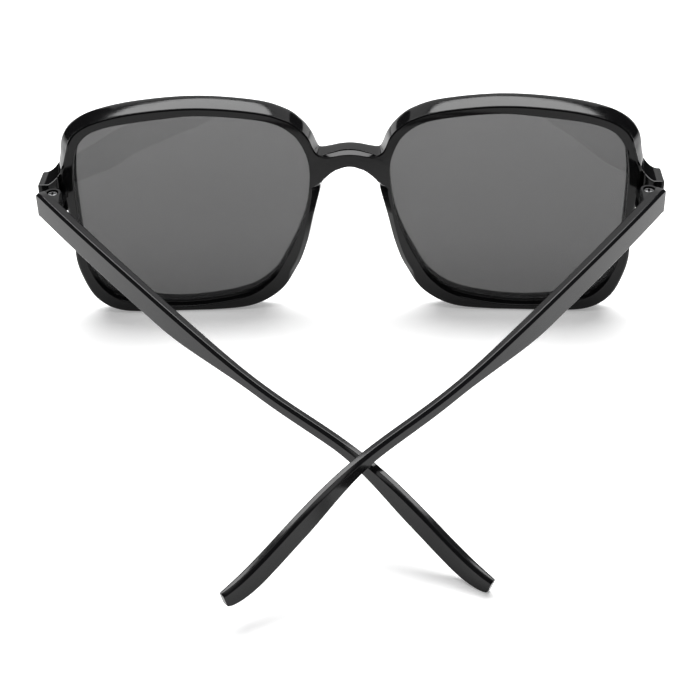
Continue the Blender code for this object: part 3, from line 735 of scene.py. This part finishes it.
front = buildFront()
print("front skin", len(front.data.polygons))
tools = []
for sideName, side in sides:
    names = [kind + sideName for kind in ("endpiece-", "tongue-", "bore-")]
    bore = roundCutter(names[2], knuckleShape["bore"], -knuckleShape["boreHalf"], knuckleShape["boreHalf"])
    movedTo(bore.data, hingePlace[sideName])
    tools += [(newObject(names[0], endpieceMesh(names[0], side)), "UNION"),
              (newObject(names[1], tongueMesh(names[1], sideName)), "UNION"), (bore, "DIFFERENCE")]
combine(front, tools)
finishPiece(front, frontBlack, "front", ("frame_front",))
print("front done", len(front.data.polygons))


# Lenses: discs that bulge forward, with their edges in the grooves
lensShape = {"bulge": 0.0010, "rings": 22, "points": 260, "edge": 0.0002, "edgeInsetShare": 0.006}


def buildLens(sideName, side):
    # Each ring is the opening's outline, grown into the groove and shrunk towards its
    # middle; both faces move forward by the bulge times one less the square of the share
    curve = evenPoints(openingCurve(), lensShape["points"])
    grown = curve + outwardNormals(curve) * (frontShape["grooveDepth"] - frontShape["seatGap"])
    middle = grown.mean(axis=0)
    share = np.sqrt(np.linspace(1, 0, lensShape["rings"]))
    front = frontY + frontShape["lip"] + frontShape["seatGap"] - frontShape["depth"]
    edge = lensShape["edge"]
    face = share * (1 - lensShape["edgeInsetShare"])
    size = np.concatenate([face[::-1], [1, 1], face])
    start = np.concatenate([0 * share, [edge, frontShape["lensThickness"] - edge],
                            0 * share + frontShape["lensThickness"]])
    xz = middle + (grown - middle) * size[:, None, None]
    y = front + start[:, None] - lensShape["bulge"] * (1 - size[:, None] ** 2) + wrapOf(xz[..., 0])
    skin = np.stack([side * xz[..., 0], y, xz[..., 1]], axis=-1)
    mesh = newMesh("lens" + sideName.title(), skin, gridFaces(*skin.shape[:2]).reshape(-1, 4))
    piece = newObject("lens" + sideName.title(), mesh)
    return finishPiece(piece, lensGrey, "front", ("lens_" + sideName,))


for sideName, side in sides:
    buildLens(sideName, side)
print("lenses done")


# Temples
templeShape = {
    "length": 0.1472, "offset": 0.0022, "buttHeight": 0.0060, "shaftHeight": 0.0026,
    "paddleHeight": 0.0048, "buttThickness": 0.0027, "bladeThickness": 0.0022,
    "shaftThickness": 0.0019, "tipLength": 0.0085, "tipHeight": 0.0030, "tipThickness": 0.0012,
    "ridgeWidth": 0.0007, "ridgeDepth": 0.0005, "edge": 0.0003, "ridgeEdge": 0.00012,
    "buttReach": 0.0020, "earDrop": 0.00015, "steps": 190,
    "fold": {"left": 40.2, "right": 35.2}, "play": 1.5, "tipSet": 2.7,
    "stepPower": 1.25, "softening": 4, "buttEdge": 0.00025, "buttHalf": 0.0015, "cornerSteps": 6,
}
# Share of the length, degrees turned in, degrees of dip
templeCourseShares = (
    (0, 0, 9.3), (0.07, 0.9, 9.5), (0.17, 1.7, 9.5), (0.34, 2.9, 10.0),
    (0.45, 4.4, 10.8), (0.51, 5.4, 9.7), (0.57, 6.6, 7.3), (0.62, 7.6, 5.5),
    (0.66, 8.4, 5.6), (0.70, 8.9, 7.5), (0.76, 9.5, 13.7), (0.83, 10.3, 22.6),
    (0.90, 11.3, 27.0), (0.95, 12.5, 24.6), (1, 14.3, 15.0),
)
taperShares, flareShares, tipSetShares = (0.33, 0.56), (0.71, 0.87), (0.68, 1)


def easeBetween(value, shares):
    # Smooth rise from 0 to 1 between two shares: three squares less two cubes
    t = np.clip((value - shares[0]) / (shares[1] - shares[0]), 0, 1)
    return t * t * (3 - 2 * t)


def templeCourse(side):
    # The direction turns in and dips along the length, and the top line is its sum. The
    # dip is softened by a bell-shaped mean over its neighbours
    shape = templeShape
    share = 1 - (1 - np.linspace(0, 1, shape["steps"])) ** shape["stepPower"]
    knots = np.array(templeCourseShares)
    turn = np.radians(np.interp(share, knots[:, 0], knots[:, 1]))
    dip = np.interp(share, knots[:, 0], knots[:, 2]) + side * shape["play"] / 2
    dip += (side > 0) * shape["tipSet"] * np.clip(
        (share - tipSetShares[0]) / (tipSetShares[1] - tipSetShares[0]), 0, 1)
    reach = shape["softening"]
    weights = np.exp(-np.linspace(-2, 2, 2 * reach + 1) ** 2)
    dip = np.convolve(np.pad(dip, reach, mode="edge"), weights / weights.sum(), "valid")
    dip = np.radians(dip)
    ahead = np.stack([-np.sin(turn) * np.cos(dip), np.cos(turn) * np.cos(dip), -np.sin(dip)], axis=1)
    outside = np.stack([np.cos(turn), np.sin(turn), 0 * turn], axis=1)
    upward = np.cross(outside, ahead)
    strides = np.diff(share)[:, None] * shape["length"]
    line = np.vstack([np.zeros(3), np.cumsum((ahead[1:] + ahead[:-1]) / 2 * strides, axis=0)])
    line += (shape["offset"], 0, knuckleShape["height"] / 2 + shape["earDrop"])
    return share, line, outside, upward


def templeMesh(name, side):
    # Five-cornered section with a bevel along its outer top, carried along the course.
    # Its height runs from butt to shaft to paddle, and the tip is drawn in elliptically.
    # The butt is carried straight on to the mitre, with a rounded edge in two steps
    shape = templeShape
    share, line, outside, upward = templeCourse(side)
    taper, flare = easeBetween(share, taperShares), easeBetween(share, flareShares)
    height = shape["buttHeight"] + (shape["shaftHeight"] - shape["buttHeight"]) * taper
    height += (shape["paddleHeight"] - shape["shaftHeight"]) * flare
    thick = shape["buttThickness"] + (shape["bladeThickness"] - shape["buttThickness"]) * easeBetween(
        share, (0, taperShares[0]))
    thick += (shape["shaftThickness"] - shape["bladeThickness"]) * taper
    along = np.clip((share - 1) * shape["length"] / shape["tipLength"] + 1, 0, 1)
    rounding = np.sqrt(1 - along ** 2)
    height = shape["tipHeight"] + (height - shape["tipHeight"]) * rounding
    thick = shape["tipThickness"] + (thick - shape["tipThickness"]) * rounding
    half = thick / 2
    corners = np.stack([np.stack(corner, axis=-1) for corner in (
        (-half, 0 * half), (half - shape["ridgeWidth"], 0 * half), (half, 0 * half - shape["ridgeDepth"]),
        (half, -height), (-half, -height))], axis=1)
    radii = [shape[key] for key in ("edge", "ridgeEdge", "ridgeEdge", "edge", "edge")]
    section = roundSection(corners, radii, shape["cornerSteps"])
    points = (line[:, None] + outside[:, None] * section[..., :1]
              + upward[:, None] * section[..., 1:])
    butt = points[:1] * (1, 0, 1) - (0, shape["buttReach"], 0)
    middle, edge = butt.mean(axis=1, keepdims=True), shape["buttEdge"]
    drawn = middle + (butt - middle) * (1 - edge / shape["buttHalf"])
    softened = middle + (butt - middle) * (1 - edgeShare * edge / shape["buttHalf"])
    points = np.concatenate([drawn, softened + (0, edgeShare * edge, 0), butt + (0, edge, 0), points])
    return sweepMesh(name, points * (side, 1, 1))


def earPlan():
    # Knuckle's round about the screw, closed by lines that end inside the blade
    shape = knuckleShape
    inside = templeShape["offset"]
    return np.vstack([
        [(inside, shape["earLength"]), (inside, shape["radius"] / 2 - templeShape["buttReach"])],
        arcPlan(shape["radius"], *shape["earArc"], shape["earSteps"]),
        [(inside - templeShape["buttThickness"] / 2, shape["earLength"])],
    ])


def slopedMesh(mesh, dip):
    # The upper half falls by the dip's slope for all that lies behind the screw's axis
    points = np.empty(len(mesh.vertices) * 3)
    mesh.vertices.foreach_get("co", points)
    points = points.reshape(-1, 3)
    points[:, 2] -= np.tan(dip) * np.clip(points[:, 1], 0, None) * (points[:, 2] > 0)
    mesh.vertices.foreach_set("co", points.ravel())
    return mesh


def buildTemple(sideName, side):
    # Blade and ears joined about the screw's axis, then cut by the tongue's slot, the bore
    # and the screw's recess, and turned to the fold that the photograph shows
    shape = knuckleShape
    name = "temple" + sideName.title()
    half, slotHalf = shape["height"] / 2, shape["slotHalf"]
    clear = shape["radius"] + frontShape["seatGap"]
    reach = clear + shape["slotReach"]
    slot = np.vstack([arcPlan(clear, 0, np.pi / 2, shape["slotSteps"]),
                      [(-reach, clear), (-reach, -reach), (clear, -reach)]])
    blade = newObject(name, templeMesh(name, side))
    flip = np.array((side, 1))
    ears = prismMesh("ears", densePlan(earPlan() * flip, shape["earStep"]),
                     edgedLevels(-half, half + shape["earRise"], shape["earEdge"]))
    dip = np.radians(templeCourseShares[0][2] + side * templeShape["play"] / 2)
    ears = newObject("ears", slopedMesh(ears, dip))
    cut = newObject("slot", prismMesh("slot", slot * flip, ((-slotHalf, 0), (slotHalf, 0))))
    bore = roundCutter("bore", shape["bore"], -shape["cutHalf"], shape["cutHalf"])
    seat = half - screwShape["sunk"] - screwShape["headHeight"] - shape["headGap"]
    recess = roundCutter("recess", shape["recess"], seat, shape["cutHalf"])
    combine(blade, [(ears, "UNION"), (cut, "DIFFERENCE"), (bore, "DIFFERENCE"), (recess, "DIFFERENCE")])
    movedTo(blade.data, hingePlace[sideName], side * np.radians(templeShape["fold"][sideName]))
    return finishPiece(blade, templeBlack, f"temple_{sideName}_arm",
                       ("temple_" + sideName,))


for sideName, side in sides:
    piece = buildTemple(sideName, side)
    print("temple done", sideName, len(piece.data.polygons))


# Hinge screws
def buildScrew(sideName, side):
    # Turned profile about the axis; the head's top is a shallow dome with a cross sunk
    # in it, as deep as a point lies inside either of two crossed bars
    shape = screwShape
    head, shank, footEdge = shape["headRadius"], shape["shankRadius"], shape["footEdge"]
    top = shape["height"] / 2 - shape["sunk"]
    under, foot = top - shape["headHeight"], frontShape["seatGap"] - shape["height"] / 2
    fine = np.linspace(0, head - shape["headEdge"], shape["rings"])
    dome = top - shape["dome"] * (fine / head) ** 2
    radius = np.concatenate([fine, [head - shape["edgeStep"], head, head, shank, shank,
                                    shank - footEdge, 0]])
    height = np.concatenate([dome, [dome[-1] - shape["edgeStep"], dome[-1] - shape["headEdge"],
                                    under, under, foot + footEdge, foot, foot]])
    angle = np.linspace(0, 2 * np.pi, shape["around"], endpoint=False)
    x, y = radius[:, None] * np.cos(angle), radius[:, None] * np.sin(angle)
    sunk = np.zeros_like(x)
    for a, b in ((x, y), (y, x)):
        wide = np.clip((shape["armHalf"] - np.abs(a)) / shape["armSlope"], 0, 1)
        long = np.clip((shape["armLength"] - np.abs(b)) / shape["endSlope"], 0, 1)
        sunk = np.maximum(sunk, wide * long)
    sunk[shape["rings"]:] = 0
    z = height[:, None] - shape["recessDepth"] * sunk
    skin = np.stack([x, y, z], axis=-1)
    name = "hingeScrew" + sideName.title()
    mesh = newMesh(name, skin, gridFaces(*skin.shape[:2]).reshape(-1, 4))
    movedTo(mesh, hingePlace[sideName], shape["turn"] * side)
    piece = newObject(name, mesh)
    return finishPiece(piece, screwSteel, f"temple_{sideName}_arm",
                       ("hinge_screw_" + sideName,), shape["sharpAngle"])


for sideName, side in sides:
    buildScrew(sideName, side)
print("screws done")


# Studio: a white floor with a faint glow, a broad light overhead, a high and a low card
# in front, and a fill from behind
studio = {
    "floorSize": 3.0, "floorColor": (0.90, 0.90, 0.90), "floorGlow": 0.30, "floorRoughness": 0.6,
    "floorSpecular": 0.1, "world": 0.03,
    "lights": (
        ("overhead", "ELLIPSE", (0.0, -0.225, 0.50), (0.0, -0.225, 0.0), (0.86, 0.28), 5.8),
        ("frontCard", "RECTANGLE", (0.0, -0.64, 0.46), (0.0, 0.0, 0.0), (0.76, 0.5), 1.3),
        ("lowCard", "RECTANGLE", (0.0, -1.10, 0.17), (0.0, 0.0, 0.03), (2.2, 0.30), 3.2),
        ("backFill", "RECTANGLE", (0.0, 0.34, 0.90), (0.0, 0.0, 0.0), (1.0, 0.3), 2.0),
    ),
}


def placedMatrix(right, up, back, place):
    # The three directions and the place as the columns of a matrix
    return Matrix([[right[i], up[i], back[i], place[i]] for i in range(3)] + [[0, 0, 0, 1]])


def buildStudio():
    half = studio["floorSize"] / 2
    corners = np.array(((-half, -half, 0), (half, -half, 0), (half, half, 0), (-half, half, 0)))
    mesh = bpy.data.meshes.new("floor")
    mesh.from_pydata(corners.tolist(), [], [[0, 1, 2, 3]])
    material, tree, shader = newMaterial("whiteFloor")
    shader.inputs["Base Color"].default_value = (*studio["floorColor"], 1)
    shader.inputs["Roughness"].default_value = studio["floorRoughness"]
    shader.inputs["Specular IOR Level"].default_value = studio["floorSpecular"]
    shader.inputs["Emission Color"].default_value = (1, 1, 1, 1)
    shader.inputs["Emission Strength"].default_value = studio["floorGlow"]
    mesh.materials.append(material)
    floor = newObject("floor", mesh)
    for name, outline, place, target, size, power in studio["lights"]:
        lamp = bpy.data.lights.new(name, "AREA")
        lamp.shape = outline
        lamp.size, lamp.size_y = size
        lamp.energy = power
        holder = newObject(name, lamp)
        away = np.array(place) - np.array(target)
        away /= np.linalg.norm(away)
        up = np.cross(away, (1, 0, 0))
        right = np.cross(up, away)
        holder.matrix_world = placedMatrix(right, up, away, place)
    world = bpy.data.worlds.new("studio")
    world.use_nodes = True
    background = world.node_tree.nodes["Background"]
    background.inputs["Color"].default_value = (1, 1, 1, 1)
    background.inputs["Strength"].default_value = studio["world"]
    bpy.context.scene.world = world


view = {
    "target": (0.000832, -0.056061, -0.012367), "distance": 0.376535,
    "elevation": 32.193, "turn": 2.094, "roll": -1.258, "lens": 74.53, "sensorWidth": 36,
    "clipStart": 0.01,
}


def buildCamera():
    # The camera stands back from its target along a line that is turned about Z and
    # raised, and is rolled about that line
    elevation, turn = np.radians(view["elevation"]), np.radians(view["turn"])
    back = np.array((-np.sin(turn) * np.cos(elevation), np.cos(turn) * np.cos(elevation),
                     np.sin(elevation)))
    right = np.cross((0, 0, 1), back)
    right /= np.linalg.norm(right)
    up = np.cross(back, right)
    roll = np.radians(view["roll"])
    right, up = (right * np.cos(roll) + up * np.sin(roll), up * np.cos(roll) - right * np.sin(roll))
    place = np.array(view["target"]) + back * view["distance"]
    camera = bpy.data.cameras.new("camera")
    camera.lens = view["lens"]
    camera.sensor_width = view["sensorWidth"]
    camera.clip_start = view["clipStart"]
    holder = newObject("camera", camera)
    holder.matrix_world = placedMatrix(right, up, back, place)
    bpy.context.scene.camera = holder
    bpy.context.scene.view_settings.view_transform = "Standard"  # keeps the floor white
    print("camera", [round(float(n), 5) for n in (*place, *right, *up)])


buildStudio()
buildCamera()
